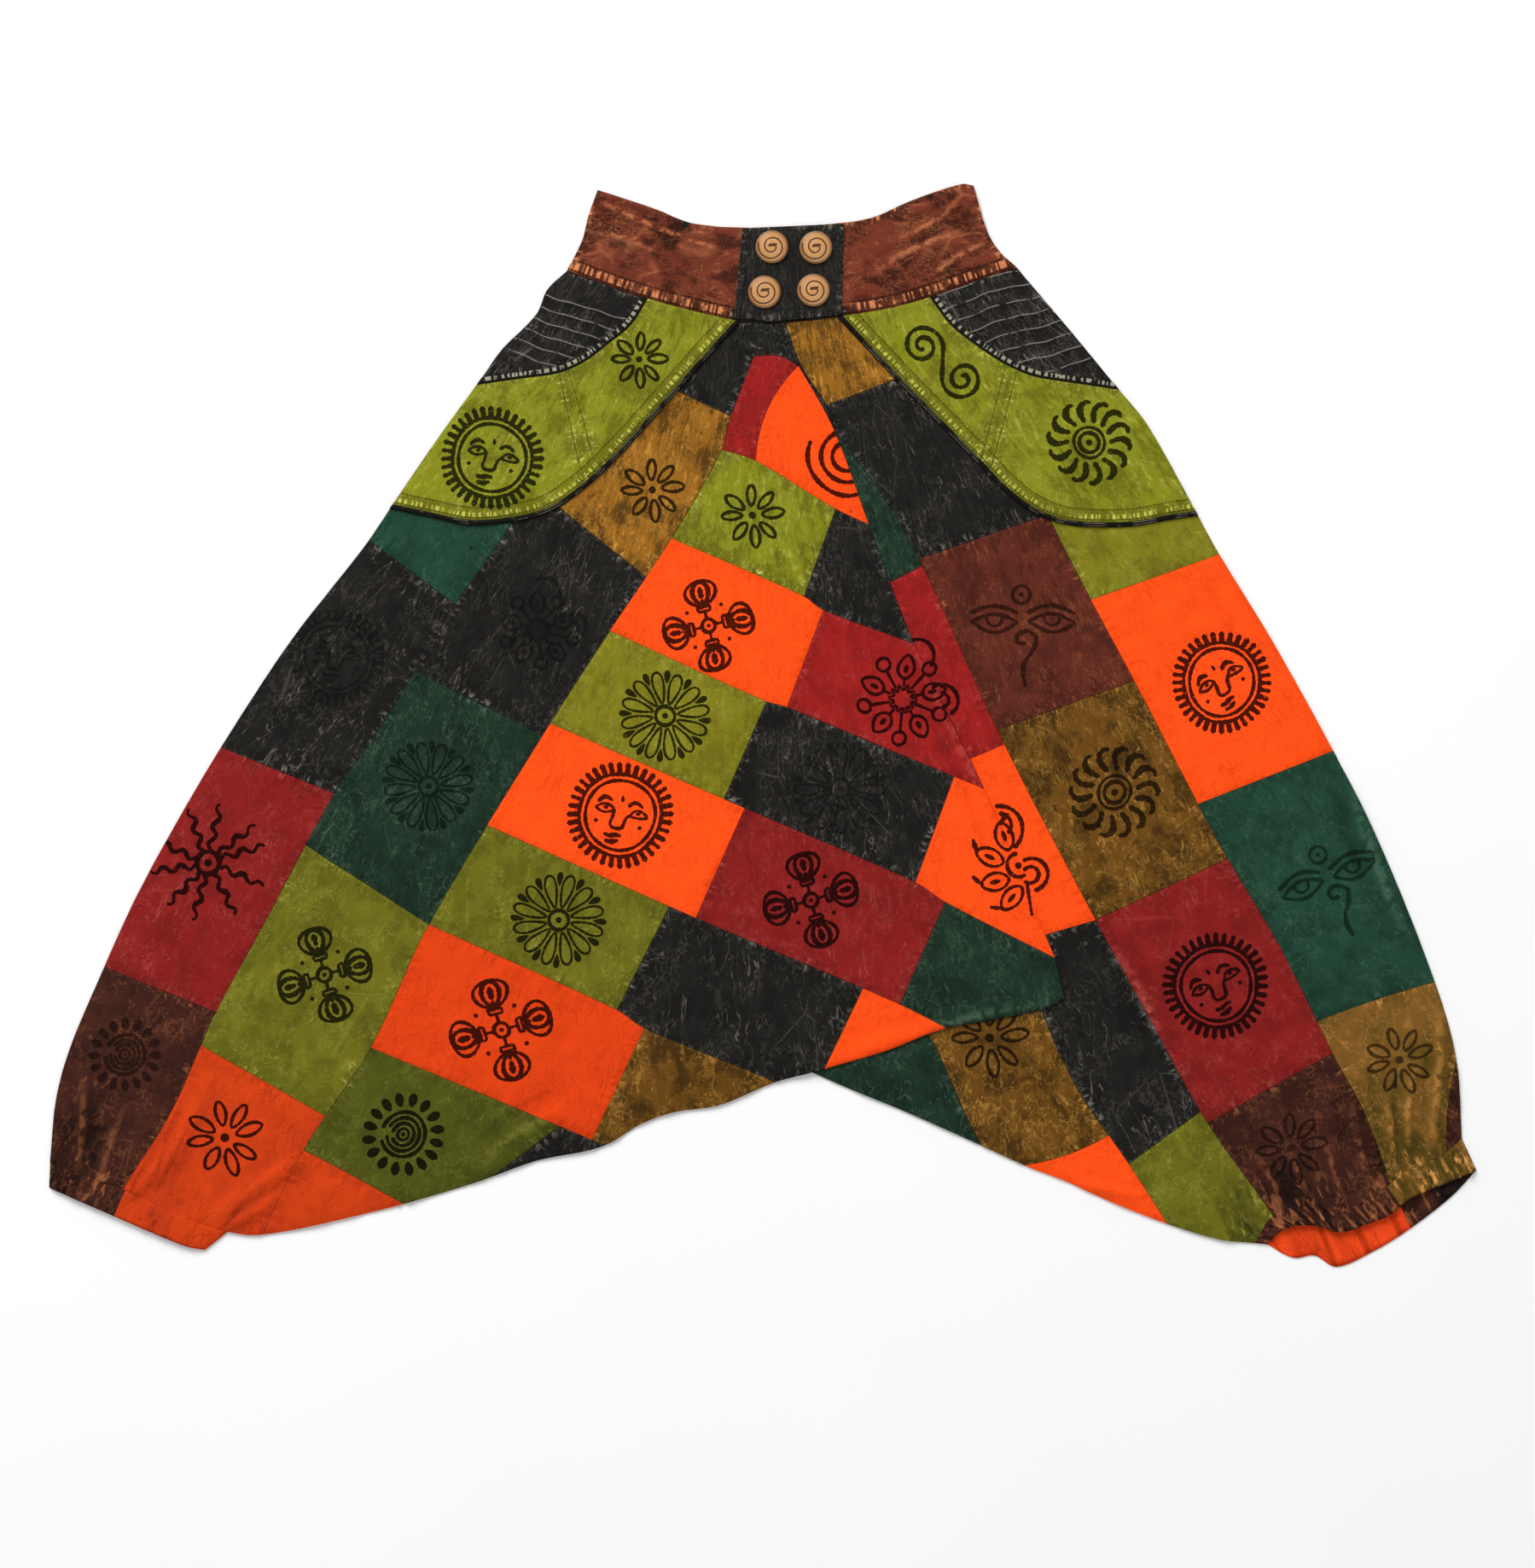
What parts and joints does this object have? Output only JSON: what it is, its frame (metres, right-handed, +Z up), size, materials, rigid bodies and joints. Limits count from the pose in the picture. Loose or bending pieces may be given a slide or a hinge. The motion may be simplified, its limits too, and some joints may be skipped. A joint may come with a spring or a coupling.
{
  "type": "harem pants",
  "caption": "Patchwork low-crotch cotton trousers laid flat, with curved hip pockets, pin-tucked yokes, a wide buttoned waistband and gathered cuffs.",
  "frame": {"origin": "bottom centre of the box round the garment, on the surface it lies on", "axes": "+X to the viewer's right across the legs, +Y from the cuffs to the waistband, +Z up out of the cloth's front side"},
  "size_m": [1.254, 0.9498, 0.0127],
  "materials": {
    "patchwork_cotton": "matt stonewashed cotton patches in black, greens, ochre, browns, red and orange, block-printed in black",
    "black_cotton": "matt stonewashed black cotton with pale crease marks",
    "lime_cotton": "matt stonewashed lime green cotton with darker mottling and yellow-green seam puckers",
    "rust_cotton": "matt stonewashed rust brown cotton with pale orange crease marks along its seams",
    "button_wood": "satin pale wood with a dark spiral groove"
  },
  "bodies": {
    "root": {"front_left": "patchwork_cotton", "front_right": "patchwork_cotton", "back_left": "patchwork_cotton", "back_right": "patchwork_cotton", "hip_yoke_left": "black_cotton", "hip_yoke_right": "black_cotton", "pocket_left": "lime_cotton", "pocket_right": "lime_cotton", "pocket_band_left": "black_cotton", "pocket_band_right": "black_cotton", "pocket_piping_left": "black_cotton", "pocket_piping_right": "black_cotton", "waistband_front_left": "rust_cotton", "waistband_front_right": "rust_cotton", "waistband_back": "rust_cotton", "waistband_tab": "black_cotton", "cuff_left": "patchwork_cotton", "cuff_right": "patchwork_cotton", "button_1": "button_wood", "button_2": "button_wood", "button_3": "button_wood", "button_4": "button_wood"}
  },
  "joints": []
}
